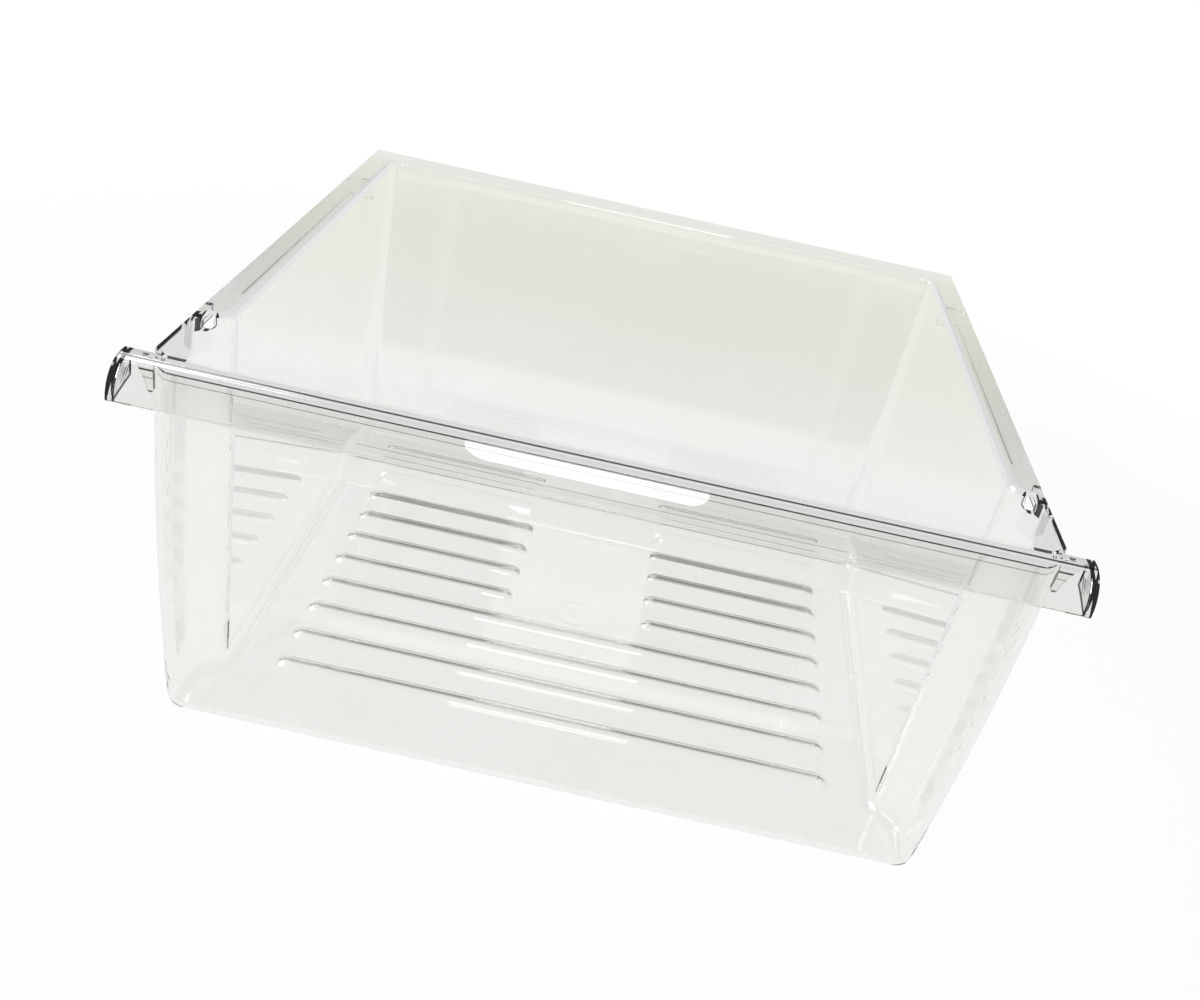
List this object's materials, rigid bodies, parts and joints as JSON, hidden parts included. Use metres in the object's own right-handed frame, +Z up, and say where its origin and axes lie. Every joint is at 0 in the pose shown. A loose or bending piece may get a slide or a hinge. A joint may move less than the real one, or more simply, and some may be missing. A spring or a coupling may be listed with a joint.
{
  "type": "fridge crisper drawer",
  "caption": "Clear moulded fridge drawer: an open tapered pan with a stepped, beaded floor, runner flanges along its rim and a hooked pull lip.",
  "frame": {"origin": "centre of the bounding box in X and Y, on the plane of the floor's underside", "axes": "+X to the right as seen from the front, +Y from the pull lip to the back wall, +Z up"},
  "size_m": [0.4, 0.3684, 0.19],
  "materials": {
    "clear_plastic": "clear, polished"
  },
  "bodies": {
    "root": {"drawer_pan": "clear_plastic"}
  },
  "joints": []
}
